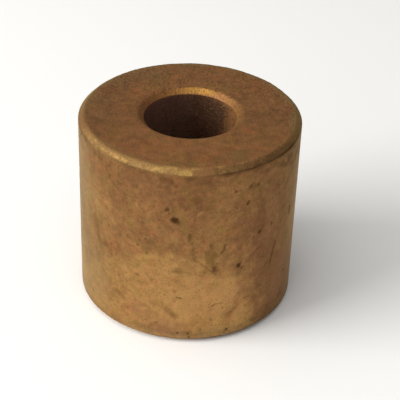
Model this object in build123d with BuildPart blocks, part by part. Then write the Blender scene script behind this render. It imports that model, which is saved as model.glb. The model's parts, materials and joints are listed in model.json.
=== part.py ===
from build123d import *
import os

# Shaft bushing: a thick plain sleeve, pressed and sintered from bronze powder in one piece.
# It is a body of revolution about Z and stands on its lower end face, whose centre is the origin.
# Both ends are alike. Sizes are in millimetres.

# Driving dimensions
bore_diameter = 10.0  # runs on the shaft
outside_diameter = 24.0  # sits in the housing
length = 22.0  # from end face to end face
rim_chamfer = 0.6  # at 45 degrees, round the outside of each end
mouth_chamfer = 0.6  # at 45 degrees, round each mouth of the bore
edge_round = 0.15  # radius that tumbling leaves on every edge

wall = (outside_diameter - bore_diameter) / 2


# Bushing, turned about Z from half of its section
with BuildPart() as bushing:
    with BuildSketch(Plane.XZ) as wall_section:
        with Locations((bore_diameter / 2, 0)):
            Rectangle(wall, length, align=(Align.MIN, Align.MIN))
        corners = wall_section.vertices().group_by(Axis.X)
        chamfer(corners[0], length=mouth_chamfer)
        chamfer(corners[-1], length=rim_chamfer)
        fillet(wall_section.vertices(), radius=edge_round)
    revolve(axis=Axis.Z)


# Export
os.makedirs("parts", exist_ok=True)
bushing.part.label = "bushing"
export_step(bushing.part, "parts/bushing.step")
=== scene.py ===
import json
import math
import random
from types import SimpleNamespace

import bmesh
import bpy
from bpy.props import FloatProperty, FloatVectorProperty, IntProperty, PointerProperty
from bpy.types import Operator, Panel, PropertyGroup
from mathutils import Matrix, Vector, kdtree, noise


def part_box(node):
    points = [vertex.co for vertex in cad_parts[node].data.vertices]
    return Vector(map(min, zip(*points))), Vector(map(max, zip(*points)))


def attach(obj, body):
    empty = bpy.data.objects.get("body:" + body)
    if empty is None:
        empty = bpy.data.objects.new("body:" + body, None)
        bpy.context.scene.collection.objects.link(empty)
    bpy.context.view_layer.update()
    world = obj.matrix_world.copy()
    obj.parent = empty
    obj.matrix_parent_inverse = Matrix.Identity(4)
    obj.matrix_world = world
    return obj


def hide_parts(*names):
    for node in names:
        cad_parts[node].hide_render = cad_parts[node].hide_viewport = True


bl_info = {
    "name": "Sintered Bronze Bushing",
    "version": (1, 0, 0),
    "blender": (4, 5, 0),
    "location": "3D View > Sidebar > Bushing",
    "description": "Builds an aged sintered bronze shaft bushing on a pale studio floor",
    "category": "Add Mesh",
}

# The frame gives the sizes, in metres
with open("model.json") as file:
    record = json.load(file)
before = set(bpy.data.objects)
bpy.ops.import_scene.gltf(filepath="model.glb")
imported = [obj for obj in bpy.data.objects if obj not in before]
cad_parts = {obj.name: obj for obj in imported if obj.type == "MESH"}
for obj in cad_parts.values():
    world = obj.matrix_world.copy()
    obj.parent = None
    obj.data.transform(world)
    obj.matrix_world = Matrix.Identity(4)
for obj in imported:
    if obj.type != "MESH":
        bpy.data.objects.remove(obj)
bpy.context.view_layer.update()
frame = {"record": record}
body_low, body_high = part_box("bushing")
mounts = {mount["name"]: mount for mount in frame["record"]["mounts"]}
MM = 0.001
LENGTH = body_high.z - body_low.z
OUTSIDE_RADIUS = mounts["outside"]["dims"]["r_mm"] * MM
BORE_RADIUS = mounts["bore"]["dims"]["r_mm"] * MM
CHAMFER = (LENGTH - mounts["bore"]["dims"]["length_mm"] * MM) / 2

# Half of the turn that the section makes at each corner
HALF_BEND = math.radians(22.5)
# How far from an edge of an end face its chips reach, and how deep they are where they are deepest
CHIP_REACH = 0.7 * MM
CHIP_DEPTH = 0.045 * MM
# How far the bare metal and painted highlight of a rim or a mouth can reach, and the dirt and painted shade
# on the wall beside a rim
BARE_AND_HIGHLIGHT_REACH = 0.8 * MM
DIRT_AND_SHADE_REACH = 1.2 * MM
# The faces are divided this far round a mark, first in a wide ring and then in a narrow one
MARK_RINGS = (0.00016, 0.00006)
# Draw of the marks on the sides that the photograph doesn't show
MARK_SEED = 11
# Depth of the grain that the materials' bump stands for
BUMP_DEPTH = 0.04 * MM
# The floor reaches this far each way, and the lights stand this far off
FLOOR_REACH = 3.0
LIGHT_DISTANCE = 0.5

# Faces of the bushing, each with its own material slot
WALL, END_FACE, RIM, MOUTH, BORE = range(5)

# Marks on the wall that the photograph shows. Azimuths are in degrees from the front towards the right,
# heights, widths and depths in millimetres, and the last value is how much dirt a mark holds.
PITS = [
    (-5.4, 16, 0.8, 0.14, 0.97), (-6.6, 16.05, 0.7, 0.1, 0.95), (-4.4, 15.8, 0.6, 0.06, 0.7),
    (-9.8, 17.15, 0.6, 0.06, 0.8), (-8.9, 16.8, 0.3, 0.03, 0.5), (23.9, 19.1, 0.5, 0.05, 0.6),
    (43.8, 18.9, 0.5, 0.04, 0.5), (27.7, 9.7, 0.66, 0.09, 0.9), (29.6, 9.2, 0.4, 0.04, 0.45),
    (31.6, 8.8, 0.26, 0.03, 0.4), (39.5, 13.1, 0.64, 0.06, 0.8), (44.4, 12.8, 0.28, 0.03, 0.45),
    (48, 13.4, 0.46, 0.04, 0.55), (54.3, 12.1, 0.34, 0.04, 0.35), (56.8, 14.6, 0.42, 0.04, 0.55),
    (53.2, 16.7, 0.34, 0.03, 0.3), (38, 16.4, 0.4, 0.03, 0.35), (-20.6, 13.1, 0.42, 0.05, 0.55),
    (-25, 12.1, 0.34, 0.05, 0.55), (-24.2, 17.1, 0.4, 0.04, 0.4), (-22.2, 15.7, 0.3, 0.03, 0.35),
    (-38.2, 9.7, 0.34, 0.04, 0.45), (-12.7, 6.5, 0.3, 0.04, 0.35), (19.8, 4.4, 0.26, 0.04, 0.5),
    (22.6, 1.3, 0.42, 0.07, 0.8), (21.4, 0.9, 0.3, 0.04, 0.6), (2.1, 1.3, 0.36, 0.04, 0.85),
    (-3.1, 1.3, 0.38, 0.04, 0.85), (2.6, 0.8, 0.34, 0.04, 0.8), (-18.5, 1.5, 0.34, 0.04, 0.6),
    (-8.6, 1.2, 0.28, 0.04, 0.5), (64.6, 5.2, 0.46, 0.05, 0.7), (28.5, 5.9, 0.28, 0.04, 0.5),
    (48.8, 3.7, 0.28, 0.04, 0.5), (32, 5, 0.34, 0.04, 0.35),
]
SCRATCHES = [
    (((31.3, 17.5), (30.9, 17.25)), 0.46, 0.06, 0.7),
    (((52.4, 10.7), (50.6, 9.4), (49, 7.9)), 0.2, 0.04, 0.85),
    (((66, 13.6), (65.6, 12.7)), 0.3, 0.05, 0.7), (((19.6, 12.7), (19.3, 12.2)), 0.36, 0.03, 0.5),
    (((19.2, 12.1), (18, 11.8)), 0.36, 0.03, 0.55),
    (((3.4, 11.4), (9, 10.3), (15.6, 9)), 0.2, 0.02, 0.36),
    (((-3.9, 6.15), (-2, 6.05)), 0.24, 0.03, 0.6), (((14.2, 4.85), (15.9, 5.1)), 0.24, 0.03, 0.5),
    (((16.8, 5.1), (19.6, 5.1)), 0.2, 0.03, 0.4), (((43.5, 19.2), (44.9, 18.3)), 0.3, 0.03, 0.4),
]
# Stains with no depth: middle line, width, dirt. Those under the top rim, across the top right and down the
# left edge are partly painted shade
STAINS_AND_SHADE = [
    (((32.6, 19.2), (36.2, 19.2)), 0.9, 0.66), (((12.2, 12.9), (12.5, 12.1)), 0.45, 0.75),
    (((11.4, 11.9), (12, 10.6)), 1, 0.45), (((12.8, 11.6), (13.2, 10.3)), 0.9, 0.5),
    (((14, 10.3), (14.6, 9.6)), 0.6, 0.7), (((13.8, 11.5), (15.6, 11.3)), 0.7, 0.4),
    (((1.4, 14.2), (2.1, 13.1)), 0.6, 0.6), (((3.2, 12.6), (3.8, 11.8)), 0.5, 0.7),
    (((4.4, 11.2), (5.6, 10.9)), 0.6, 0.45), (((-6.2, 9.8), (-5, 9.7)), 0.8, 0.5),
    (((-4, 9.7), (-3, 9.6)), 0.6, 0.42), (((-38, 4.8), (-34.8, 4.3)), 0.9, 0.34),
    (((-34.5, 3.5), (-32.5, 3.6)), 0.5, 0.25), (((-14, 5.2), (-9.5, 4.6)), 0.8, 0.28),
    (((-9.5, 4.5), (-7.5, 4)), 0.9, 0.42), (((-7, 3.9), (-4.4, 3.7)), 0.8, 0.5),
    (((-12.8, 20.8), (-8.4, 20.5)), 0.9, 0.5), (((-9.5, 19.6), (-7.5, 19.3)), 0.9, 0.3),
    (((-50.5, 10.4), (-47, 10.2), (-43.5, 10.1)), 0.5, 0.36), (((-56, 12.4), (-50, 10.8)), 1.6, 0.22),
    (((-47.8, 6.6), (-45.5, 6.1), (-43, 5.5)), 0.7, 0.28), (((-21, 13.4), (-18.6, 12.6)), 1.2, 0.32),
    (((-17, 12.7), (-14.5, 12.3)), 1.4, 0.32), (((-40.5, 17.8), (-38.5, 17.5)), 0.8, 0.24),
    (((-35.5, 19.6), (-33.5, 19.4)), 0.7, 0.24), (((39, 7.8), (44, 7.6)), 1.4, 0.2),
    (((56, 15.5), (58, 12.5)), 1.6, 0.16), (((3.5, 19.2), (5.8, 18.2)), 1.3, 0.32),
    (((9, 19.6), (11.5, 17.8)), 1.5, 0.24), (((0.5, 19.4), (2, 18)), 1.1, 0.2),
    (((37, 1.5), (40, 1.2)), 0.8, 0.45), (((60, 2.4), (64, 1.9)), 0.9, 0.3),
    (((33.2, 9.9), (35.6, 10.3)), 0.7, 0.36), (((35.6, 10.6), (38.8, 10.9)), 0.6, 0.4),
    (((40.5, 10), (44.5, 9.4)), 0.9, 0.4), (((45.5, 8.6), (48.5, 8.3)), 0.7, 0.36),
    (((36, 20.9), (55, 20.8), (76, 20.6)), 1.9, 0.52), (((54, 20), (66, 19.9), (78, 19.8)), 2.4, 0.62),
    (((68, 18.6), (70, 15.6)), 2.4, 0.24), (((40, 11.6), (43, 10.2)), 2, 0.22),
    (((44, 10.2), (50, 9.6)), 1.8, 0.22), (((39, 5.8), (41, 4.4)), 1.6, 0.3),
    (((29, 18.2), (31, 16)), 2, 0.22), (((9, 20.5), (12, 20.3)), 1, 0.2),
    (((42, 18.4), (58, 18.6), (74, 18.8)), 3.4, 0.28),
    (((37.5, 18.2), (39, 15.6), (40, 13.8)), 2, 0.36), (((28, 20.7), (33, 20.5)), 0.9, 0.32),
    (((8, 20.7), (13, 20.6)), 0.8, 0.3), (((-72, 13), (-69, 9.5)), 2, 0.26),
    (((-74, 20.4), (-68, 20.3)), 1.6, 0.3), (((28, 8.8), (31.5, 6.8)), 1.4, 0.24),
    (((-26, 1.4), (0, 1.2), (24, 1.2), (52, 1.3)), 1, 0.34), (((-16, 1.9), (-9, 1.5)), 1.2, 0.34),
    (((-54, 20.9), (-42, 20.8)), 1.3, 0.5), (((-50, 20.6), (-36, 20.5), (-26, 20.6)), 1.5, 0.2),
    (((-34, 21), (-24, 20.9)), 0.8, 0.2), (((-22, 21.15), (2, 21.1)), 0.5, 0.6),
    (((-83, 20), (-82.5, 14), (-82, 6)), 2.8, 0.34),
]
# Brighter scuffs on the wall: middle line, width, how bare
SCUFFS = [
    (((5.6, 16.8), (6.6, 17)), 0.6, 0.6), (((7.2, 17.2), (8.4, 17.6)), 0.5, 0.45),
    (((2, 16.1), (3.4, 16.5)), 0.45, 0.5), (((-1.6, 6.4), (-0.4, 6.2)), 0.4, 0.9),
    (((24.6, 10.2), (26.4, 10.6)), 0.4, 0.6), (((46, 9.4), (48.4, 8.9)), 0.35, 0.5),
    (((50.4, 9.4), (49.4, 8.3)), 0.2, 0.6), (((-18, 10.9), (-14.5, 10.5)), 0.8, 0.4),
]
# Little tarnished patches of the wall: azimuth, height, half width in degrees, half height, share
# From the front left round to the right side these are partly a painted reflection of the lit floor, with a
# sharper right edge where its shadow falls
GOLDEN_AND_REFLECTION_PATCHES = [
    (-19, 3.7, 61, 8.8, 1), (-31, 11.2, 8, 3, 0.5), (0, 11, 7, 2.2, 0.4), (20, 10.2, 6, 2, 0.4),
    (30, 2.4, 11, 3.6, 0.9), (71, 10.4, 7, 2.4, 0.5), (-50, 13, 30, 4, 0.35), (10, 12.5, 16, 4, 0.3),
    (128, 6, 34, 5.5, 1), (196, 13, 30, 5, 0.8), (250, 5, 22, 6.5, 1), (84, 7, 14, 7, 0.35),
]
# Where the wall is greyed, in the same terms; on the left edge and along the foot this is partly a painted
# sheen
GREY_AND_SHEEN_PATCHES = [
    (-82, 12, 34, 16, 0.5), (-62, 4, 24, 10, 0.5), (10, 0.8, 75, 1.2, 0.35), (200, 6, 40, 9, 0.4),
]
# Where the wall has a rosy tone, in the same terms
ROSY_PATCHES = [
    (62, 5.6, 20, 5, 0.75), (50, 12, 24, 14, 0.25), (150, 14, 36, 7, 0.5), (-12, 1.8, 15, 1.7, 0.6),
    (-26, 3.8, 7, 1.2, 0.4), (30, 6.4, 10, 2, 0.3),
]
# Where the wall is rubbed lighter, in the same terms; low on the front this is partly a painted reflection
# of the lit floor
RUBBED_AND_REFLECTION_PATCHES = [
    (8, 5.6, 34, 5.6, 0.6), (30, 2.4, 10, 3.2, 0.6), (-36, 4, 14, 4, 0.25),
]
# Pale dust lodged on the bore: azimuth, height, width
BORE_DUST = [
    (204, 18.9, 0.34), (201.5, 18.6, 0.24), (207.5, 18.6, 0.22), (203, 18.2, 0.2), (209, 19.1, 0.18),
    (196, 19.5, 0.18), (179, 19.6, 0.2), (172, 18.9, 0.16), (166, 18.4, 0.16), (186, 17.2, 0.16),
]
# Stretches of the bore that the oil has left: azimuth, half width in degrees, share
# The first stretch, on the right where light falls into the bore, is partly painted light
CLEAN_AND_LIT_BORE = [
    (98, 50, 0.75), (150, 40, 0.12), (330, 40, 0.6),
]
# Bare stretches of the top rim: azimuth, half width in degrees, strength
# From the left round to just past the front these are partly the painted highlight of the lit chamfer
BARE_AND_HIGHLIGHT_RIM = [
    (-65, 16, 0.27), (-47, 12, 0.26), (-30, 16, 0.32), (-12, 13, 0.44), (-1.4, 4.2, 0.72),
    (17, 11, 0.34), (95, 18, 0.35), (172, 24, 0.5), (236, 12, 0.45),
]
# Painted highlights on the top rim: azimuth at both ends, level from the wall up to the end face, width,
# how bright
RIM_GLINTS = [
    (-57.8, -55.8, 0.75, 0.42, 0.6), (-50.5, -47.8, 0.5, 0.44, 0.55), (-47.4, -46.9, 0.55, 0.46, 1),
    (-43, -39.5, 0.5, 0.5, 0.7), (-38, -35, 0.46, 0.46, 0.6), (-33.5, -32.5, 0.45, 0.44, 0.6),
    (-27.5, -26.5, 0.5, 0.44, 0.5), (-16.5, -12.5, 0.55, 0.54, 0.85), (-11, -8.5, 0.4, 0.4, 0.4),
    (-3.5, 1.2, 0.42, 0.56, 0.9), (-0.8, 1.5, 0.25, 0.56, 1),
]
# Dark pits round the outer edge of the upper mouth: azimuth, width, dirt
MOUTH_PITS = [
    (128, 0.24, 0.4), (136, 0.3, 0.55), (151, 0.3, 0.6), (163, 0.22, 0.35), (188, 0.24, 0.4),
    (192, 0.34, 0.55), (203.5, 0.24, 0.5), (210, 0.4, 0.65), (213.5, 0.24, 0.45), (224, 0.26, 0.4),
]
# Places where the end face is rubbed brighter: azimuth, radius in millimetres, half width, share
RUBBED_FACE = [
    (-8, 11.1, 1.2, 0.6), (4, 11, 1.2, 0.6), (17, 10.8, 1.2, 0.5), (31, 10.2, 1.5, 0.62),
    (38, 10, 0.8, 0.5), (-52, 11, 0.8, 0.4), (-75, 11.1, 0.8, 0.35), (64, 8.9, 0.5, 0.5),
    (82, 10.6, 0.9, 0.4), (150, 10.5, 1.4, 0.3), (142, 6, 1.3, 0.45), (158, 6, 1.2, 0.4),
]


class BushingSizes(PropertyGroup):
    outside_diameter: FloatProperty(
        name="Outside Diameter", description="Diameter of the wall that sits in the housing",
        default=2 * OUTSIDE_RADIUS, min=0.004, max=0.2, precision=4, subtype="DISTANCE", unit="LENGTH",
    )
    bore_diameter: FloatProperty(
        name="Bore Diameter", description="Diameter of the bore that runs on the shaft",
        default=2 * BORE_RADIUS, min=0.001, max=0.19, precision=4, subtype="DISTANCE", unit="LENGTH",
    )
    length: FloatProperty(
        name="Length", description="From end face to end face", default=LENGTH, min=0.002, max=0.2,
        precision=4, subtype="DISTANCE", unit="LENGTH",
    )
    chamfer: FloatProperty(
        name="Chamfer", description="Leg of the 45 degree chamfers at the rims and the mouths",
        default=CHAMFER, min=0.0001, max=0.005, precision=5, subtype="DISTANCE", unit="LENGTH",
    )
    crisp_edge: FloatProperty(
        name="Crisp Edge", description="Radius left where a chamfer meets the wall or the bore",
        default=0.00012, min=0.00001, max=0.001, precision=5, subtype="DISTANCE", unit="LENGTH",
    )
    worn_edge: FloatProperty(
        name="Worn Edge", description="Radius where handling has rounded a chamfer into the end face",
        default=0.00045, min=0.00001, max=0.001, precision=5, subtype="DISTANCE", unit="LENGTH",
    )
    segments: IntProperty(
        name="Segments", description="Facets round the axis", default=360, min=48, max=512,
    )


class BushingFinish(PropertyGroup):
    # Bare metal, also the colour of the painted highlights on the top rim
    bare_and_highlight: FloatVectorProperty(
        name="Bare Bronze", description="Metal where wear keeps it bright",
        default=(0.402, 0.248, 0.081), size=3, min=0.0, max=1.0, subtype="COLOR",
    )
    # Golden bronze also colours the painted reflection low on the front of the wall
    golden: FloatVectorProperty(
        name="Golden Bronze", description="The wall where it is little tarnished",
        default=(0.368, 0.202, 0.069), size=3, min=0.0, max=1.0, subtype="COLOR",
    )
    brown: FloatVectorProperty(
        name="Brown Tarnish", description="The dull brown that has grown over the bronze",
        default=(0.205, 0.096, 0.039), size=3, min=0.0, max=1.0, subtype="COLOR",
    )
    umber: FloatVectorProperty(
        name="Reddish Tarnish", description="The warmer brown of the end faces and the chamfers",
        default=(0.36, 0.163, 0.058), size=3, min=0.0, max=1.0, subtype="COLOR",
    )
    oily: FloatVectorProperty(
        name="Oil Dark", description="Old oil that has soaked the bore",
        default=(0.078, 0.035, 0.019), size=3, min=0.0, max=1.0, subtype="COLOR",
    )
    dirty: FloatVectorProperty(
        name="Dirt", description="Dark brown dirt in the pits, the scratches and the pores",
        default=(0.060, 0.028, 0.012), size=3, min=0.0, max=1.0, subtype="COLOR",
    )


class StageSettings(PropertyGroup):
    distance: FloatProperty(
        name="Camera Distance", description="From the camera to the middle of the bushing",
        default=0.13556, min=0.05, max=5.0, precision=5, subtype="DISTANCE", unit="LENGTH",
    )
    elevation: FloatProperty(
        name="Camera Elevation",
        description="Height of the camera above the horizon, seen from the middle",
        default=math.radians(33.375), min=0.0, max=math.radians(89), subtype="ANGLE",
    )
    aim: FloatVectorProperty(
        name="Camera Aim", description="Point at the middle of the picture",
        default=(0.001369, -0.000139, 0.010802), size=3, precision=6, subtype="TRANSLATION",
        unit="LENGTH",
    )
    roll: FloatProperty(
        name="Camera Roll", description="How far the camera leans", default=math.radians(2.146),
        subtype="ANGLE",
    )
    lens: FloatProperty(
        name="Lens", description="Focal length in millimetres on a 36 mm wide sensor",
        default=108.98, min=10.0, max=400.0,
    )
    window_power: FloatProperty(
        name="Window Light", description="Power of the large soft light low at the left, in watts",
        default=3.2, min=0.0,
    )
    overhead_power: FloatProperty(
        name="Overhead Light",
        description="Power of the large soft light above the front left, in watts",
        default=2.4, min=0.0,
    )
    fill: FloatProperty(
        name="Room Light", description="Strength of the weak light from all round",
        default=0.34, min=0.0,
    )
    floor_colour: FloatVectorProperty(
        name="Floor", description="Colour of the pale floor",
        default=(0.84, 0.84, 0.83), size=3, min=0.0, max=1.0, subtype="COLOR",
    )


# Nodes


def set_value(socket, value):
    """Links a socket to an output, or sets its own value."""
    if isinstance(value, bpy.types.NodeSocket):
        socket.id_data.links.new(value, socket)
    elif value is not None:
        socket.default_value = (*value, 1.0) if socket.type == "RGBA" and len(value) == 3 else value


def set_inputs(node, inputs):
    """Links or sets the inputs of a node, by name or by number."""
    for socket, value in inputs.items():
        set_value(node.inputs[socket], value)


def new_node(tree, kind, inputs, **settings):
    """A node with its settings made and its inputs linked or set."""
    node = tree.nodes.new(kind)
    for name, value in settings.items():
        setattr(node, name, value)
    set_inputs(node, inputs)
    return node


def noise_field(tree, position, scale, detail=2.0, roughness=0.5, distortion=0.0):
    """Value of a noise with that many features to the metre."""
    inputs = {"Vector": position, "Scale": scale, "Detail": detail}
    inputs |= {"Roughness": roughness, "Distortion": distortion}
    return new_node(tree, "ShaderNodeTexNoise", inputs).outputs["Fac"]


def moved(tree, position, x, y, z):
    """The position shifted, so that a second noise doesn't repeat the first."""
    return new_node(tree, "ShaderNodeVectorMath", {0: position, 1: (x, y, z)}, operation="ADD").outputs[0]


def reckon(tree, operation, first, second=0.0, third=None, clamp=False):
    """Result of a Math node."""
    inputs = {0: first, 1: second, 2: third}
    return new_node(tree, "ShaderNodeMath", inputs, operation=operation, use_clamp=clamp).outputs[0]


def times(tree, first, second, clamp=False):
    """Product of two values."""
    return reckon(tree, "MULTIPLY", first, second, clamp=clamp)


def plus(tree, first, second, clamp=False):
    """Sum of two values."""
    return reckon(tree, "ADD", first, second, clamp=clamp)


def minus(tree, first, second):
    """Difference of two values."""
    return reckon(tree, "SUBTRACT", first, second)


def times_plus(tree, first, second, third):
    """Product of the first two values, plus the third."""
    return reckon(tree, "MULTIPLY_ADD", first, second, third)


def ramp(tree, value, low, high, to_low=0.0, to_high=1.0, smooth=True):
    """Value taken from one range to another, and held at its ends."""
    inputs = {"Value": value, "From Min": low, "From Max": high, "To Min": to_low, "To Max": to_high}
    course = "SMOOTHSTEP" if smooth else "LINEAR"
    node = new_node(tree, "ShaderNodeMapRange", inputs, interpolation_type=course, clamp=True)
    return node.outputs["Result"]


def blend_colours(tree, amount, first, second, blend="MIX"):
    """Two colours mixed by an amount."""
    inputs = {0: amount, 6: first, 7: second}
    return new_node(tree, "ShaderNodeMix", inputs, data_type="RGBA", blend_type=blend).outputs[2]


def lit(tree, colour, factor):
    """A colour made lighter or darker by a factor."""
    inputs = {0: colour, "Scale": factor}
    return new_node(tree, "ShaderNodeVectorMath", inputs, operation="SCALE").outputs[0]


def new_group(name, inputs, outputs):
    """An empty shader group with named sockets, each input with its default."""
    group = bpy.data.node_groups.new(name, "ShaderNodeTree")
    for label, kind, default in inputs:
        socket = group.interface.new_socket(name=label, in_out="INPUT", socket_type="NodeSocket" + kind)
        if default is not None:
            socket.default_value = default
    for label, kind in outputs:
        group.interface.new_socket(name=label, in_out="OUTPUT", socket_type="NodeSocket" + kind)
    start = group.nodes.new("NodeGroupInput")
    end = group.nodes.new("NodeGroupOutput")
    return group, start.outputs, end.inputs


def sintered_grain():
    """Height, pores, dark specks and bright flecks of bronze powder pressed and sintered."""
    group, given, made = new_group(
        "Sintered Grain",
        [
            ("Position", "Vector", None),
            ("Grains per Metre", "Float", 5000.0),
            ("Pore Share", "Float", 0.3),
            ("Specks per Metre", "Float", 1100.0),
            ("Speck Share", "Float", 0.3),
        ],
        [(label, "Float") for label in ("Height", "Pores", "Specks", "Flecks", "Sand")],
    )
    place = given["Position"]
    grains = given["Grains per Metre"]
    cells = {"Vector": place, "Scale": grains, "Smoothness": 0.35}
    lumps = new_node(group, "ShaderNodeTexVoronoi", cells, feature="SMOOTH_F1")
    fine = noise_field(group, place, times(group, grains, 1.1), 2.0, 0.6)
    rounded = ramp(group, lumps.outputs["Distance"], 0.05, 0.75, 1.0, 0.0)
    height = plus(group, times(group, rounded, 0.5), times(group, fine, 0.5))
    set_value(made["Height"], height)
    set_value(made["Sand"], ramp(group, fine, 0.25, 0.75, -1.0, 1.0, False))
    edge = minus(group, 0.8, given["Pore Share"])
    pores = ramp(group, minus(group, 1.0, fine), edge, plus(group, edge, 0.12))
    set_value(made["Pores"], pores)
    set_value(made["Flecks"], ramp(group, fine, 0.66, 0.78))

    # A speck stands in a few of the cells, each of its own size
    specks = given["Specks per Metre"]
    bent = noise_field(group, place, times(group, specks, 2.0), 2.0, 0.5)
    aside = moved(group, place, 0.31, 0.17, 0.05)
    cells = new_node(group, "ShaderNodeTexVoronoi", {"Vector": aside, "Scale": specks})
    chance = new_node(group, "ShaderNodeSeparateColor", {0: cells.outputs["Color"]})
    least = minus(group, 1.0, given["Speck Share"])
    chosen = ramp(group, chance.outputs[0], least, 1.0, 0.0, 1.0, False)
    standing = reckon(group, "GREATER_THAN", chosen, 0.001)
    reach = times(group, times_plus(group, chosen, 0.30, 0.06), standing)
    distance = times_plus(group, minus(group, bent, 0.5), 0.5, cells.outputs["Distance"])
    set_value(made["Specks"], ramp(group, distance, times(group, reach, 0.4), reach, 1.0, 0.0))
    return group


def mottled_tarnish():
    """Colour of bronze under patches of tarnish, broad, middling and fine, with drifts of red and olive."""
    group, given, made = new_group(
        "Mottled Tarnish",
        [
            ("Position", "Vector", None),
            ("Clean", "Color", None),
            ("Tarnished", "Color", None),
            ("Cover", "Float", 0.5),
            ("Patches per Metre", "Float", 200.0),
            ("Contrast", "Float", 0.3),
            ("Reddish", "Color", (1.07, 0.95, 0.97, 1.0)),
            ("Olive", "Color", (0.94, 1.01, 0.86, 1.0)),
            ("Drift", "Float", 0.6),
            ("Cloud", "Float", 0.12),
        ],
        [("Colour", "Color"), ("Tarnish", "Float")],
    )
    place = given["Position"]
    patches = given["Patches per Metre"]
    broad = noise_field(group, place, patches, 3.0, 0.55, 0.3)
    aside = moved(group, place, 0.2, 0.4, 0.1)
    middling = noise_field(group, aside, times(group, patches, 3.6), 3.0, 0.62, 0.2)
    both = plus(group, times(group, broad, 0.55), times(group, middling, 0.45))
    centred = minus(group, both, 0.5)
    spread = times(group, centred, times(group, given["Contrast"], 6.0))
    amount = plus(group, spread, given["Cover"], clamp=True)
    set_value(made["Tarnish"], amount)
    colour = blend_colours(group, amount, given["Clean"], given["Tarnished"])
    drifts = (((0.7, 0.1, 0.3), 4.2, 0.46, "Reddish"), ((0.1, 0.9, 0.6), 3.6, 0.48, "Olive"))
    for shift, density, low, tint in drifts:
        aside = moved(group, place, *shift)
        drift = noise_field(group, aside, times(group, patches, density), 3.0, 0.6, 0.4)
        drift = times(group, ramp(group, drift, low, low + 0.20), given["Drift"])
        tinted = blend_colours(group, 1.0, colour, given[tint], "MULTIPLY")
        colour = blend_colours(group, drift, colour, tinted)
    aside = moved(group, place, 0.5, 0.5, 0.9)
    cloud = noise_field(group, aside, times(group, patches, 9.0), 2.0, 0.6)
    cloud = ramp(group, cloud, 0.22, 0.70, -1.2, 0.8, False)
    shade = times_plus(group, cloud, given["Cloud"], 1.0)
    set_value(made["Colour"], lit(group, colour, shade))
    return group


def edge_wear_and_highlight():
    """Where handling has bared the metal and where highlights are painted: a soft band broken up by
    patches.
    """
    group, given, made = new_group(
        "Edge Wear And Highlight",
        [
            ("Position", "Vector", None),
            ("Band", "Float", 0.0),
            ("Patches per Metre", "Float", 900.0),
            ("Raggedness", "Float", 0.8),
        ],
        [("Mask", "Float")],
    )
    broken = noise_field(group, given["Position"], given["Patches per Metre"], 3.0, 0.6, 0.3)
    shift = times(group, minus(group, broken, 0.5), given["Raggedness"])
    set_value(made["Mask"], ramp(group, plus(group, given["Band"], shift), 0.2, 0.85))
    return group


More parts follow.
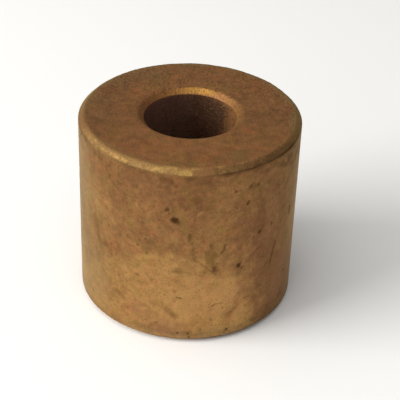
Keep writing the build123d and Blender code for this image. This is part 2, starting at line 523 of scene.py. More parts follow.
def bushing_material(name, colours, own):
    """One of the bushing's five finishes: the shared groups placed with its own values."""
    clean_and_lit, tarnished, dirty, bared = colours
    material = bpy.data.materials.new(name)
    material.use_nodes = True
    tree = material.node_tree
    place = new_node(tree, "ShaderNodeTexCoord", {}).outputs["Object"]

    def share(label):
        """A value that the mesh carries from point to point."""
        return new_node(tree, "ShaderNodeAttribute", {}, attribute_name=label).outputs["Fac"]

    def grouped(label, inputs):
        """Outputs of a shared group placed with this finish's own values."""
        node = new_node(tree, "ShaderNodeGroup", {}, node_tree=bpy.data.node_groups[label])
        set_inputs(node, inputs)
        return node.outputs

    def laid(amount, under, over):
        """One colour laid over another by an amount."""
        return blend_colours(tree, amount, under, over)

    grain = grouped("Sintered Grain", {
        "Position": place, "Grains per Metre": own.grains, "Pore Share": own.pores,
        "Specks per Metre": own.specks, "Speck Share": own.speck_share,
    })
    # The clean share thins the tarnish; on the front of the wall it is partly painted reflection, and in
    # the bore partly painted light
    cover = times_plus(tree, share("clean_and_lit"), -own.cleaning, own.cover)
    if own.grit:
        cover = times_plus(tree, grain["Sand"], -own.grit, cover)
    tarnish = grouped("Mottled Tarnish", {
        "Position": place, "Clean": clean_and_lit, "Tarnished": tarnished, "Cover": cover,
        "Patches per Metre": own.patches, "Contrast": own.contrast, "Cloud": own.cloud,
        "Reddish": own.reddish, "Olive": own.olive, "Drift": own.drift,
    })
    wear_and_highlight = grouped("Edge Wear And Highlight", {
        "Position": place, "Band": share("worn_and_highlight"),
        "Patches per Metre": own.wear_patches, "Raggedness": own.raggedness,
    })
    rough_skin = minus(tree, 1.0, share("smooth"))
    sandy = times_plus(tree, times(tree, grain["Sand"], rough_skin), own.sand, 1.0)
    colour = lit(tree, tarnish["Colour"], sandy)
    # Bare metal laid where the wear mask stands; on the rims and the upper mouth it is partly painted
    # highlight, low on the wall's front partly painted reflection
    colour = laid(times(tree, wear_and_highlight["Mask"], own.bared), colour, lit(tree, bared, sandy))
    if own.rosy:
        colour = laid(times(tree, share("rosy"), own.rosy), colour, lit(tree, own.rosy_colour, sandy))
    flecks = times(tree, grain["Flecks"], rough_skin)
    colour = laid(times(tree, flecks, own.glint), colour, bared)
    # Dust, and on the wall a painted sheen, laid over the colour
    if own.dusty:
        gritty = times_plus(tree, grain["Sand"], own.dust_grit, 1.0)
        dust_and_sheen = times(tree, times(tree, share("dust_and_sheen"), gritty, clamp=True), own.dusty)
        colour = laid(dust_and_sheen, colour, lit(tree, own.dust_colour, sandy))
    pores = times(tree, times(tree, grain["Pores"], rough_skin), own.pore_dark)
    specks = times(tree, times(tree, grain["Specks"], rough_skin), own.speck_dark)
    # Dirt in the pits, pores and specks, and on the wall painted shade under the rims
    dirt_and_shade = reckon(tree, "MAXIMUM", reckon(tree, "MAXIMUM", pores, specks), share("dirt_and_shade"))

    dull = times_plus(tree, tarnish["Tarnish"], own.dulling, own.roughness)
    dull = times_plus(tree, wear_and_highlight["Mask"], -own.polish, dull)
    relief = {"Strength": own.bump, "Distance": BUMP_DEPTH, "Height": grain["Height"]}
    bump = new_node(tree, "ShaderNodeBump", relief)
    set_inputs(tree.nodes["Principled BSDF"], {
        "Base Color": laid(dirt_and_shade, colour, dirty),
        "Roughness": times_plus(tree, dirt_and_shade, 0.2, dull),
        "Metallic": times_plus(tree, wear_and_highlight["Mask"], own.bared * (1.0 - own.metallic), own.metallic),
        "Specular Tint": own.grazing,
        "Normal": bump.outputs["Normal"],
    })
    return material


def finish_values(finish):
    """Name, colours and values of each finish, in the order of the material slots."""
    bare_and_highlight, golden, brown, umber, oily, dirty = (
        tuple(colour)
        for colour in (finish.bare_and_highlight, finish.golden, finish.brown, finish.umber, finish.oily, finish.dirty)
    )
    orange = (0.385, 0.202, 0.050)
    face_red = (0.36, 0.157, 0.055)
    face_brown = (0.205, 0.094, 0.038)
    # Dark colour of the wall's dirt, also used for the painted shade under its rims
    wall_dirt_and_shade = (0.070, 0.030, 0.009)
    rim_brown = (0.218, 0.113, 0.043)
    mouth_brown = (0.215, 0.103, 0.040)
    # Bare colour of the wall, also used for the painted reflection low on its front
    pale = (0.475, 0.262, 0.096)
    rubbed = (0.315, 0.185, 0.062)
    shared = dict(
        grains=4400.0, pores=0.2, pore_dark=0.3, sand=0.12, glint=0.0, grit=0.0, metallic=0.8, bump=0.9,
        specks=1000.0, speck_share=0.35, speck_dark=0.35, grazing=(0.95, 0.84, 0.62),
        patches=190.0, contrast=0.3, drift=1.0, cloud=0.22,
        reddish=(1.07, 0.95, 0.97), olive=(0.94, 1.02, 0.86), wear_patches=900.0, raggedness=0.6,
        bared=0.0, polish=0.0, dusty=0.0, dust_grit=0.0, rosy=0.0,
    )
    finishes = [
        ("Pressed Wall", (golden, brown, wall_dirt_and_shade, pale), dict(
            cover=0.86, cleaning=0.72, contrast=0.34, roughness=0.35, dulling=0.06, metallic=0.92, bump=0.6,
            drift=0.9, bared=0.8, dusty=0.6, dust_colour=(0.30, 0.225, 0.115),
            rosy=0.6, rosy_colour=(0.30, 0.135, 0.080),
        )),
        ("End Face", (face_red, face_brown, dirty, rubbed), dict(
            cover=0.86, cleaning=0.4, contrast=0.35, roughness=0.5, dulling=0.08, metallic=0.75,
            grains=4000.0, sand=0.4, glint=0.35, grit=0.1, pore_dark=0.6, speck_dark=0.3,
            bared=0.75, polish=0.05,
            patches=115.0, reddish=(1.07, 0.95, 0.95), olive=(0.94, 1.01, 0.88),
            dusty=0.75, dust_grit=1.4, dust_colour=(0.245, 0.162, 0.068),
        )),
        ("Worn And Highlighted Rim", (umber, rim_brown, dirty, bare_and_highlight), dict(
            cover=1.1, cleaning=0.6, roughness=0.7, dulling=0.04, bump=0.7, sand=0.14, pore_dark=0.15,
            bared=1.0, polish=0.06, wear_patches=1200.0, raggedness=1.2,
            patches=420.0, reddish=(1.0, 0.96, 0.96), olive=(0.90, 0.96, 0.82),
            dusty=0.7, dust_grit=0.8, dust_colour=(0.265, 0.180, 0.064),
            rosy=0.85, rosy_colour=(0.300, 0.145, 0.060),
        )),
        ("Worn And Highlighted Mouth", (umber, mouth_brown, dirty, orange), dict(
            cover=0.95, cleaning=0.2, contrast=0.4, roughness=0.62, dulling=0.04, sand=0.26, glint=0.2,
            bared=0.85, polish=0.04, wear_patches=1800.0, raggedness=1.0,
            patches=420.0, reddish=(1.02, 0.96, 0.84), olive=(0.96, 0.96, 0.80),
            rosy=0.7, rosy_colour=(0.30, 0.128, 0.050),
        )),
        ("Oily Bore", (umber, oily, oily, golden), dict(
            cover=1.2, cleaning=1.05, contrast=0.15, roughness=0.5, dulling=0.1, metallic=0.6, drift=0.8,
            sand=0.35, glint=0.3, grit=0.3, pore_dark=0.4, raggedness=0.9,
            dusty=1.0, dust_colour=(0.28, 0.150, 0.112),
        )),
    ]
    return [(name, colours, shared | own) for name, colours, own in finishes]


# Shape


def eased(value, low, high):
    """0 below the one value, 1 above the other, smooth between them."""
    t = min(max((value - low) / (high - low), 0.0), 1.0)
    return t * t * (3 - 2 * t)


def turned(azimuth, other):
    """Smallest turn between two azimuths, in degrees."""
    return abs((azimuth - other + 180.0) % 360.0 - 180.0)


def arc(centre, radius, start, end, steps):
    """Points of an arc in the section, from one angle to another in degrees."""
    points = []
    for step in range(steps + 1):
        angle = math.radians(start + (end - start) * step / steps)
        points.append((centre[0] + radius * math.cos(angle), centre[1] + radius * math.sin(angle)))
    return points


def spaced(start, end, steps, ease):
    """Points between two others, crowded towards both ends where ease is above nought."""
    points = []
    for step in range(1, steps):
        t = step / steps
        t = (1 - ease) * t + ease * (0.5 - 0.5 * math.cos(math.pi * t))
        points.append((start[0] + (end[0] - start[0]) * t, start[1] + (end[1] - start[1]) * t))
    return points


def section(sizes):
    """The outline as (radius, height, face), up the wall, in over the end face and down the bore."""
    outside = sizes.outside_diameter / 2
    inside = sizes.bore_diameter / 2
    top = sizes.length
    leg = sizes.chamfer
    corners = [
        (outside, leg, sizes.crisp_edge),
        (outside, top - leg, sizes.crisp_edge),
        (outside - leg, top, sizes.worn_edge),
        (inside + leg, top, sizes.worn_edge),
        (inside, top - leg, sizes.crisp_edge),
        (inside, leg, sizes.crisp_edge),
        (inside + leg, 0.0, sizes.crisp_edge),
        (outside - leg, 0.0, sizes.crisp_edge),
    ]
    runs = [(WALL, 66, 0.3), (RIM, 5, 0.0), (END_FACE, 20, 0.5), (MOUTH, 5, 0.0)]
    runs += [(BORE, 30, 0.35), (MOUTH, 3, 0.0), (END_FACE, 8, 0.6), (RIM, 3, 0.0)]
    outline = []
    for index, (radius, height, rounding) in enumerate(corners):
        before = Vector(corners[index - 1][:2])
        here = Vector((radius, height))
        following = corners[(index + 1) % len(corners)]
        after = Vector(following[:2])
        back = (before - here).normalized()
        ahead = (after - here).normalized()
        reach = rounding * math.tan(HALF_BEND)
        centre = here + (back + ahead).normalized() * (rounding / math.cos(HALF_BEND))
        first = here + back * reach
        last = here + ahead * reach
        start = math.degrees(math.atan2(first.y - centre.y, first.x - centre.x))
        end = math.degrees(math.atan2(last.y - centre.y, last.x - centre.x))
        turn = (end - start + 180) % 360 - 180
        face, steps, ease = runs[index]
        bend = arc(centre, rounding, start, start + turn, 4)
        edge = MOUTH if 3 <= index <= 6 else RIM
        outline += [(x, y, edge) for x, y in bend[:-1]]
        outline.append((bend[-1][0], bend[-1][1], face))
        stop = after - ahead * following[2] * math.tan(HALF_BEND)
        outline += [(x, y, face) for x, y in spaced(last, stop, steps, ease)]
    return outline


def turned_mesh(sizes):
    """The section turned round the axis, and the layer that keeps each point's radius."""
    outline = section(sizes)
    mesh = bmesh.new()
    radii = mesh.verts.layers.float.new("radius")
    rings = []
    for radius, height, face in outline:
        ring = []
        for step in range(sizes.segments):
            angle = 2 * math.pi * step / sizes.segments
            vertex = mesh.verts.new((radius * math.sin(angle), -radius * math.cos(angle), height))
            vertex[radii] = radius
            ring.append(vertex)
        rings.append(ring)
    for index, (*place, face) in enumerate(outline):
        below = rings[index]
        above = rings[(index + 1) % len(rings)]
        for step in range(sizes.segments):
            after = (step + 1) % sizes.segments
            quad = mesh.faces.new((below[step], below[after], above[after], above[step]))
            quad.material_index = face
            quad.smooth = True
    return mesh, radii


def on_section(azimuth, radius, height):
    """Point at an azimuth in degrees, a radius and a height."""
    angle = math.radians(azimuth)
    return Vector((radius * math.sin(angle), -radius * math.cos(angle), height))


def on_wall(sizes, azimuth, height):
    """Point of the wall at an azimuth in degrees and at a height in millimetres of the bushing shown."""
    return on_section(azimuth, sizes.outside_diameter / 2, height * MM * sizes.length / LENGTH)


class Mark:
    """A pit, scratch, stain, scuff, glint or speck, with its share of dirt, bare metal or dust; some stains
    are partly painted shade and the glints are painted highlights.
    """

    def __init__(self, points, width, depth, share):
        self.points = points
        self.reach = width * MM / 2
        self.depth = depth * MM
        self.share = share

    def steps(self):
        """Points along the middle line, close enough to find every vertex near it."""
        found = [self.points[0]]
        for start, end in zip(self.points, self.points[1:]):
            count = max(1, math.ceil((end - start).length / (self.reach * 0.7)))
            found += [start.lerp(end, step / count) for step in range(1, count + 1)]
        return found

    def away(self, place):
        """Distance from the middle line, in units of the half width."""
        if len(self.points) == 1:
            return (place - self.points[0]).length / self.reach
        nearest = []
        for start, end in zip(self.points, self.points[1:]):
            along = end - start
            t = min(max((place - start).dot(along) / along.length_squared, 0.0), 1.0)
            nearest.append((place - start - along * t).length)
        return min(nearest) / self.reach


def line_on_wall(sizes, places):
    """Points of the wall along a line of azimuths and heights."""
    return [on_wall(sizes, *place) for place in places]


def marks_in_view(sizes):
    """The marks that the photograph shows."""
    dots = [([(azimuth, height)], *rest) for azimuth, height, *rest in PITS]
    # Stains have no depth; some of them are partly painted shade
    stains_and_shade = [(line, width, 0.0, dirt_and_shade) for line, width, dirt_and_shade in STAINS_AND_SHADE]
    marks = [Mark(line_on_wall(sizes, line), *rest) for line, *rest in dots + SCRATCHES + stains_and_shade]
    edge = sizes.bore_diameter / 2 + 1.15 * sizes.chamfer
    for azimuth, width, dirt_and_shade in MOUTH_PITS:
        marks.append(Mark([on_section(azimuth, edge, sizes.length)], width, width * 0.16, dirt_and_shade))
    return marks


def scuffs_in_view(sizes):
    """The brighter scuffs, and the glints on the rim painted as highlights, that the photograph shows."""
    scuffs = [Mark(line_on_wall(sizes, line), width, 0.0, bare_and_highlight) for line, width, bare_and_highlight in SCUFFS]
    for start, end, level, width, bare_and_highlight in RIM_GLINTS:
        radius = sizes.outside_diameter / 2 - level * sizes.chamfer
        height = sizes.length - (1.0 - level) * sizes.chamfer
        ends = [on_section(azimuth, radius, height) for azimuth in (start, end)]
        scuffs.append(Mark(ends, width, 0.0, bare_and_highlight))
    return scuffs


def dust_in_view(sizes):
    """The specks of pale dust in the bore, as marks that barely dent it."""
    radius = sizes.bore_diameter / 2
    specks = []
    for azimuth, height, width in BORE_DUST:
        place = on_section(azimuth, radius, height * MM * sizes.length / LENGTH)
        specks.append(Mark([place], width, 0.002, 0.75))
    return specks


def marks_elsewhere(sizes, chance):
    """Marks of the same kinds on the sides that the photograph doesn't show, and nicks along the edges."""
    marks = []
    for count in range(46):
        azimuth = chance.uniform(78.0, 288.0)
        height = chance.uniform(0.9, 21.0)
        size = 0.18 + 0.32 * chance.random() ** 2
        dirt_and_shade = 0.35 + 0.5 * chance.random()
        marks.append(Mark([on_wall(sizes, azimuth, height)], size, size * 0.16, dirt_and_shade))
    for count in range(8):
        azimuth = chance.uniform(85.0, 280.0)
        height = chance.uniform(3.0, 19.0)
        lean = chance.uniform(-6.0, 6.0)
        fall = chance.uniform(0.6, 2.2)
        ends = [on_wall(sizes, azimuth, height), on_wall(sizes, azimuth + lean, height - fall)]
        marks.append(Mark(ends, 0.14, 0.02, chance.uniform(0.3, 0.6)))
    outer = sizes.outside_diameter / 2 - sizes.chamfer
    inner = sizes.bore_diameter / 2 + sizes.chamfer
    for count in range(26):
        azimuth = chance.uniform(80.0, 280.0)
        radius = chance.choice((outer, outer, outer + sizes.chamfer * 0.8, inner))
        drop = sizes.chamfer if radius > outer else 0.0
        height = chance.choice((sizes.length - drop, sizes.length - drop, drop))
        size = chance.uniform(0.25, 0.6)
        dirt_and_shade = chance.uniform(0.0, 0.3)
        marks.append(Mark([on_section(azimuth, radius, height)], size, size * 0.14, dirt_and_shade))
    for count in range(16):
        azimuth = math.degrees(chance.uniform(0.0, 2 * math.pi))
        radius = chance.uniform(inner + 0.0004, outer - 0.0004)
        size = chance.uniform(0.18, 0.34)
        place = on_section(azimuth, radius, sizes.length)
        marks.append(Mark([place], size, size * 0.15, chance.uniform(0.2, 0.5)))
    return marks


def refine(mesh, marks, radii, margins):
    """Divides the faces round the marks, once for each margin. New points stay on the turned surface."""
    for margin in margins:
        faces = list(mesh.faces)
        tree = kdtree.KDTree(len(faces))
        for index, face in enumerate(faces):
            tree.insert(face.calc_center_median(), index)
        tree.balance()
        chosen = set()
        for mark in marks:
            for step in mark.steps() if mark.depth else []:
                for place, index, distance in tree.find_range(step, mark.reach + margin):
                    chosen.add(index)
        edges = {edge for index in chosen for edge in faces[index].edges}
        bmesh.ops.subdivide_edges(mesh, edges=list(edges), cuts=1, use_grid_fill=True)
    for vertex in mesh.verts:
        wanted = vertex[radii]
        actual = math.hypot(vertex.co.x, vertex.co.y)
        vertex.co.x *= wanted / actual
        vertex.co.y *= wanted / actual


def carve(mesh, marks, scuffs, specks):
    """Sinks each mark into the metal, and returns the shares of dirt and painted shade, of wear and painted
    highlight, and of dust that each point has.
    """
    mesh.normal_update()
    mesh.verts.ensure_lookup_table()
    tree = kdtree.KDTree(len(mesh.verts))
    for vertex in mesh.verts:
        tree.insert(vertex.co, vertex.index)
    tree.balance()
    sunk = {}
    shares = {name: [0.0] * len(mesh.verts) for name in ("dirt_and_shade", "worn_and_highlight", "clean_and_lit", "smooth", "dust_and_sheen", "rosy")}
    held_by = [(mark, shares["dirt_and_shade"]) for mark in marks]
    held_by += [(scuff, shares["worn_and_highlight"]) for scuff in scuffs]
    held_by += [(speck, shares["dust_and_sheen"]) for speck in specks]
    for mark, held in held_by:
        near = {}
        for step in mark.steps():
            for place, index, distance in tree.find_range(step, mark.reach * 1.9):
                near[index] = place
        for index, place in near.items():
            ragged = 1.0 + 0.45 * noise.noise(place / mark.reach * 1.1) + 0.2 * noise.noise(place * 5000.0)
            away = mark.away(place) / ragged
            if away < 1.0 and mark.depth:
                sunk[index] = max(sunk.get(index, 0.0), mark.depth * (1.0 - away * away) ** 1.5)
            share = mark.share * (1.0 - eased(away, 0.35, 1.3))
            if not mark.depth:
                share *= min(0.75 + 0.9 * noise.noise(place * 1700.0), 1.0)
            held[index] = max(held[index], share)
    for index, depth in sunk.items():
        vertex = mesh.verts[index]
        vertex.co -= vertex.normal * depth
    return shares


def patched(patches, azimuth, height, ragged):
    """The largest share that soft-edged patches of the wall give at an azimuth and a height."""
    share = 0.0
    for middle, centre, across, up, most in patches:
        away = math.hypot(turned(azimuth, middle) / across, (height - centre) / up) + ragged
        share = max(share, most * (1.0 - eased(away, 0.35, 1.15)))
    return share


class Spot:
    """A vertex with its place round the axis, and the shares that it carries."""

    def __init__(self, vertex, shares):
        x, y, self.z = vertex.co
        self.place = vertex.co.copy()
        self.radius = math.hypot(x, y)
        self.azimuth = math.degrees(math.atan2(x, -y))
        self.index = vertex.index
        self.shares = shares

    def put(self, name, share):
        """Sets a share."""
        self.shares[name][self.index] = share

    def lift(self, name, share):
        """Raises a share where it is lower."""
        self.put(name, max(self.shares[name][self.index], share))

    def about(self, middle, inner, outer):
        """1 within the inner turn from an azimuth, 0 beyond the outer one, smooth between them."""
        return 1.0 - eased(turned(self.azimuth, middle), inner, outer)

    def speckle(self, scale):
        """Noise round nought, with that many features to the metre."""
        return noise.noise(self.place * scale)


def wall_tarnish_and_painted_light(spot, top, leg):
    """The patches of the wall, partly painted reflection and sheen, and the dark lines beside its rims,
    partly grime and partly painted shade.
    """
    height = spot.z / top * LENGTH / MM
    ragged = 0.24 * spot.speckle(230.0) + 0.22 * spot.speckle(700.0)
    # Golden patches end more sharply on their right; on the front and the right they are partly painted
    # reflection
    for middle, centre, across, up, share in GOLDEN_AND_REFLECTION_PATCHES:
        around = (spot.azimuth - middle + 180.0) % 360.0 - 180.0
        away = math.hypot(around / across, (height - centre) / up) + ragged
        sharp = eased(around, -10.0, 10.0)
        spot.lift("clean_and_lit", share * (1.0 - eased(away, 0.46 + 0.24 * sharp, 1.22 - 0.12 * sharp)))
    # Grey patches, partly painted sheen on the left edge and along the foot
    spot.put("dust_and_sheen", patched(GREY_AND_SHEEN_PATCHES, spot.azimuth, height, 0.5 * ragged))
    spot.put("rosy", patched(ROSY_PATCHES, spot.azimuth, height, ragged))
    # Lighter patches low on the front, partly painted reflection
    spot.lift("worn_and_highlight", patched(RUBBED_AND_REFLECTION_PATCHES, spot.azimuth, height, ragged))
    # Dark lines under the top rim and above the foot: partly grime, partly painted shade, wider but fainter
    # at the left, strongest towards the right and almost gone at the front
    for edge, strength in ((top - leg, 1.0), (leg, 0.5)):
        under = abs(spot.z - edge)
        if under < DIRT_AND_SHADE_REACH and leg - 0.0001 < spot.z < top - leg + 0.0001:
            shade = spot.about(-42.0, 16.0, 30.0)
            line = 0.44 + 0.4 * spot.speckle(900.0) + 0.3 * spot.speckle(300.0)
            line *= strength * (1.0 - 0.9 * spot.about(-2.0, 6.0, 24.0))
            line *= (1.0 - 0.2 * shade) * (1.0 + 0.4 * spot.about(50.0, 10.0, 30.0))
            spot.lift("dirt_and_shade", line * (1.0 - eased(under, 0.00004, 0.00055 + 0.0006 * shade)))


def oil_bore(spot):
    """Where the oil has left the bore, on its right side partly painted light, and the grey film on the
    oil.
    """
    for middle, across, share in CLEAN_AND_LIT_BORE:
        away = turned(spot.azimuth, middle) / across + 0.35 * spot.speckle(330.0)
        spot.lift("clean_and_lit", share * (1.0 - eased(away, 0.45, 1.15)))
    spot.lift("dust_and_sheen", 0.3 * spot.about(226.0, 30.0, 58.0) + 0.28 * spot.about(236.0, 10.0, 40.0))


def chipped(spot, sizes):
    """How deep the edges of the end faces are chipped at a point."""
    depth = 0.0
    outer = sizes.outside_diameter / 2 - sizes.chamfer
    inner = sizes.bore_diameter / 2 + sizes.chamfer
    for edge, strength in ((outer, 1.0), (inner, 0.7)):
        for level in (0.0, sizes.length):
            away = math.hypot(spot.radius - edge, spot.z - level)
            if away < CHIP_REACH:
                share = max(0.5 + 0.7 * spot.speckle(620.0) + 0.35 * spot.speckle(1900.0), 0.0)
                depth += CHIP_DEPTH * strength * share * (1.0 - eased(away, 0.0, CHIP_REACH))
    return depth


def bare_and_highlight_rim(spot, outside, top, leg):
    """Bare metal and painted highlights, tones and dirt of the outer chamfers."""
    upper = math.hypot(spot.radius - (outside - 0.42 * leg), spot.z - (top - 0.58 * leg))
    lower = math.hypot(spot.radius - (outside - 0.45 * leg), spot.z - 0.55 * leg)
    away = min(upper, lower)
    if away < BARE_AND_HIGHLIGHT_REACH and (spot.z > top - 1.06 * leg or spot.z < leg):
        bare_and_highlight = max(
            strength * spot.about(middle, across * 0.5, across * 1.3)
            for middle, across, strength in BARE_AND_HIGHLIGHT_RIM
        )
        # The bright band stops just past the front, at the painted edge of the highlight
        bare_and_highlight *= 1.0 - spot.about(8.0, 5.2, 6.8)
        spot.lift("worn_and_highlight", bare_and_highlight * (1.0 - eased(away, 0.00012, 0.00056)))
        far_left = spot.about(-88.0, 10.0, 26.0)
        spot.put("rosy", 0.45 * spot.about(7.2, 3.6, 6.4) + 0.5 * far_left)
        spot.lift("dirt_and_shade", 0.28 * far_left)
        spot.lift("dust_and_sheen", 0.4 * spot.about(-36.0, 26.0, 42.0))


def bare_and_highlight_mouth(spot, inside, top, leg):
    """Bare metal, at the back partly a painted highlight, and tones of the upper mouth."""
    outward = 0.42 + 0.18 * spot.about(150.0, 15.0, 50.0)
    away = math.hypot(spot.radius - (inside + outward * leg), spot.z - (top - (1.0 - outward) * leg))
    if away < BARE_AND_HIGHLIGHT_REACH:
        bare_and_highlight = 0.32 + 0.66 * spot.about(188.0, 18.0, 58.0)
        bare_and_highlight *= 1.0 - 0.35 * spot.about(145.0, 5.0, 15.0)
        spot.put("worn_and_highlight", bare_and_highlight * (1.0 - eased(away, 0.0002, 0.00055)))
        spot.put("rosy", 0.9 * spot.about(238.0, 32.0, 58.0))


def dust_face(spot, outside):
    """The film of dust on the far side of the upper end face and its rim."""
    film = eased(spot.radius + 0.0005 * spot.speckle(700.0), outside - 0.0016, outside - 0.0006)
    grey = 0.36 * spot.about(235.0, 24.0, 62.0) * eased(spot.radius, 0.0068, 0.0095)
    spot.lift("dust_and_sheen", max(film * spot.about(172.0, 80.0, 122.0), grey * (0.8 + 0.6 * spot.speckle(420.0))))


def rub_face(spot, outside):
    """Where the upper end face is clean, smooth, darker towards the left and rubbed bright."""
    front = spot.about(14.0, 40.0, 108.0)
    right = 0.7 * spot.about(112.0, 10.0, 32.0)
    back = 0.4 * spot.about(150.0, 30.0, 75.0)
    near = 0.6 * (1.0 - eased(spot.radius, 0.007, 0.0095)) * (1.0 - 0.6 * spot.about(98.0, 12.0, 40.0))
    within = 1.0 - eased(spot.radius, outside - 0.0008, outside - 0.0003)
    spot.put("clean_and_lit", max(front, right, back, near) * within)
    spot.lift("dirt_and_shade", 0.14 * spot.about(-96.0, 20.0, 46.0))
    turn = turned(spot.azimuth, 0.0) + 3.0 * (spot.radius - 0.008) / MM
    spot.put("smooth", 0.88 - 0.8 * eased(turn, 45.0, 135.0))
    for middle, centre, across, share in RUBBED_FACE:
        away = (spot.place - on_section(middle, centre * MM, spot.z)).length / (across * MM)
        away += 0.5 * spot.speckle(900.0) + 0.3 * spot.speckle(2600.0)
        spot.lift("worn_and_highlight", share * (1.0 - eased(away, 0.2, 1.3)))


def weather(mesh, sizes, shares):
    """Wears the edges and the wall a few hundredths of a millimetre, and fills in each point's shares."""
    outside = sizes.outside_diameter / 2
    inside = sizes.bore_diameter / 2
    top = sizes.length
    leg = sizes.chamfer
    moves = []
    for vertex in mesh.verts:
        spot = Spot(vertex, shares)
        depth = 0.0
        if spot.radius > outside - leg * 0.5:
            depth += (0.010 + 0.006 * spot.speckle(260.0)) * MM
            wall_tarnish_and_painted_light(spot, top, leg)
        if spot.radius < inside + leg * 0.3:
            oil_bore(spot)
        depth += chipped(spot, sizes)
        bare_and_highlight_rim(spot, outside, top, leg)
        bare_and_highlight_mouth(spot, inside, top, leg)
        if spot.z > top - leg and spot.radius > inside + leg:
            dust_face(spot, outside)
        if spot.z > top - 0.0002 and inside + leg < spot.radius < outside:
            rub_face(spot, outside)
        if depth:
            moves.append((vertex, depth))
    for vertex, depth in moves:
        inward = vertex.normal * depth
        if vertex.co.z < 1e-6:
            inward = Vector((0.0, 0.0, -depth if depth > 0.00001 else 0.0))
        vertex.co -= inward


class MESH_OT_bushing(Operator):
    """Build the bushing in place of its plain solid"""

    bl_idname = "mesh.sintered_bushing"
    bl_label = "Bushing"
    bl_options = {"REGISTER", "UNDO"}

    def execute(self, context):
        sizes = context.scene.bushing_sizes
        finish = context.scene.bushing_finish
        if sizes.bore_diameter + 2 * sizes.chamfer >= sizes.outside_diameter - 2 * sizes.chamfer:
            raise ValueError("The bore leaves no end face between the chamfers")

        mesh, radii = turned_mesh(sizes)
        marks = marks_in_view(sizes) + marks_elsewhere(sizes, random.Random(MARK_SEED))
        specks = dust_in_view(sizes)
        refine(mesh, marks + specks, radii, MARK_RINGS)
        mesh.verts.index_update()
        shares = carve(mesh, marks, scuffs_in_view(sizes), specks)
        mesh.normal_update()
        weather(mesh, sizes, shares)
        mesh.verts.layers.float.remove(mesh.verts.layers.float["radius"])
        data = bpy.data.meshes.new("bushing_metal")
        mesh.to_mesh(data)
        mesh.free()
        for label, values in shares.items():
            data.attributes.new(label, "FLOAT", "POINT").data.foreach_set("value", values)
        piece = bpy.data.objects.new("bushing_metal", data)
        context.scene.collection.objects.link(piece)

        sintered_grain()
        mottled_tarnish()
        edge_wear_and_highlight()
        for name, colours, own in finish_values(finish):
            data.materials.append(bushing_material(name, colours, SimpleNamespace(**own)))

        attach(piece, "root")
        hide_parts("bushing")
        return {"FINISHED"}


def soft_light(name, power, size, azimuth, elevation, colour):
    """A square soft light that faces the bushing. Azimuths run from the front to the right, in degrees."""
    lamp = bpy.data.lights.new(name, "AREA")
    lamp.energy = power
    lamp.size = size
    lamp.color = colour
    light = bpy.data.objects.new(name, lamp)
    turn = math.radians(azimuth)
    rise = math.radians(elevation)
    away = Vector((math.sin(turn) * math.cos(rise), -math.cos(turn) * math.cos(rise), math.sin(rise)))
    light.location = Vector((0, 0, LENGTH / 2)) + away * LIGHT_DISTANCE
    light.rotation_euler = away.to_track_quat("Z", "Y").to_euler()
    bpy.context.scene.collection.objects.link(light)


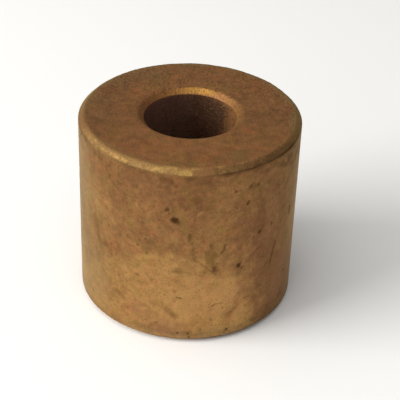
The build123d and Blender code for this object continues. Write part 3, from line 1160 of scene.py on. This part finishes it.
class SCENE_OT_studio_stage(Operator):
    """Set the pale floor, the soft lights and the camera"""

    bl_idname = "scene.studio_stage"
    bl_label = "Studio Stage"
    bl_options = {"REGISTER", "UNDO"}

    def execute(self, context):
        scene = context.scene
        stage = scene.studio_stage
        middle = Vector((0, 0, LENGTH / 2))

        # Floor
        sheet = bpy.data.meshes.new("floor")
        corners = [(x * FLOOR_REACH, y * FLOOR_REACH, 0) for x, y in ((-1, -1), (1, -1), (1, 1), (-1, 1))]
        sheet.from_pydata(corners, [], [(0, 1, 2, 3)])
        floor = bpy.data.objects.new("floor", sheet)
        paint = bpy.data.materials.new("Pale Floor")
        paint.use_nodes = True
        colour = tuple(stage.floor_colour)
        matt = {"Base Color": colour, "Roughness": 0.9, "Specular IOR Level": 0.2}
        set_inputs(paint.node_tree.nodes["Principled BSDF"], matt)
        sheet.materials.append(paint)
        scene.collection.objects.link(floor)

        # Lights
        daylight = (1.0, 0.99, 0.97)
        soft_light("window", stage.window_power, size=0.34, azimuth=-72.0, elevation=22.0, colour=daylight)
        above = (1.0, 0.99, 0.98)
        soft_light("overhead", stage.overhead_power, size=0.8, azimuth=-50.0, elevation=56.0, colour=above)

        # Room
        world = bpy.data.worlds.new("room")
        world.use_nodes = True
        tree = world.node_tree
        back = tree.nodes["Background"]
        set_inputs(back, {"Color": (1.0, 0.99, 0.97), "Strength": stage.fill})
        shown = new_node(tree, "ShaderNodeBackground", {"Color": (0.86, 0.86, 0.85)})
        seen = new_node(tree, "ShaderNodeLightPath", {}).outputs["Is Camera Ray"]
        mix = new_node(tree, "ShaderNodeMixShader", {0: seen, 1: back.outputs[0], 2: shown.outputs[0]})
        set_inputs(tree.nodes["World Output"], {"Surface": mix.outputs[0]})
        scene.world = world

        # Camera
        lens = bpy.data.cameras.new("camera")
        lens.lens = stage.lens
        lens.sensor_width = 36.0
        lens.clip_start = 0.01
        lens.clip_end = 20.0
        camera = bpy.data.objects.new("camera", lens)
        place = middle + Vector((0, -math.cos(stage.elevation), math.sin(stage.elevation))) * stage.distance
        turn = (Vector(stage.aim) - place).to_track_quat("-Z", "Y").to_matrix()
        turn = turn @ Matrix.Rotation(stage.roll, 3, "Z")
        camera.matrix_world = Matrix.Translation(place) @ turn.to_4x4()
        scene.collection.objects.link(camera)
        scene.camera = camera
        scene.view_settings.view_transform = "Standard"
        return {"FINISHED"}


class VIEW3D_PT_bushing(Panel):
    bl_label = "Sintered Bushing"
    bl_space_type = "VIEW_3D"
    bl_region_type = "UI"
    bl_category = "Bushing"

    def draw(self, context):
        scene = context.scene
        for title, group in (
            ("Sizes", scene.bushing_sizes),
            ("Finish", scene.bushing_finish),
            ("Stage", scene.studio_stage),
        ):
            box = self.layout.box()
            box.label(text=title)
            for name in type(group).__annotations__:
                box.prop(group, name)
        self.layout.operator(MESH_OT_bushing.bl_idname)
        self.layout.operator(SCENE_OT_studio_stage.bl_idname)


classes = (
    BushingSizes,
    BushingFinish,
    StageSettings,
    MESH_OT_bushing,
    SCENE_OT_studio_stage,
    VIEW3D_PT_bushing,
)


def register():
    for cls in classes:
        bpy.utils.register_class(cls)
    bpy.types.Scene.bushing_sizes = PointerProperty(type=BushingSizes)
    bpy.types.Scene.bushing_finish = PointerProperty(type=BushingFinish)
    bpy.types.Scene.studio_stage = PointerProperty(type=StageSettings)


def unregister():
    del bpy.types.Scene.studio_stage
    del bpy.types.Scene.bushing_finish
    del bpy.types.Scene.bushing_sizes
    for cls in reversed(classes):
        bpy.utils.unregister_class(cls)


def main():
    register()
    bpy.ops.mesh.sintered_bushing()
    bpy.ops.scene.studio_stage()


if __name__ == "__main__":
    main()
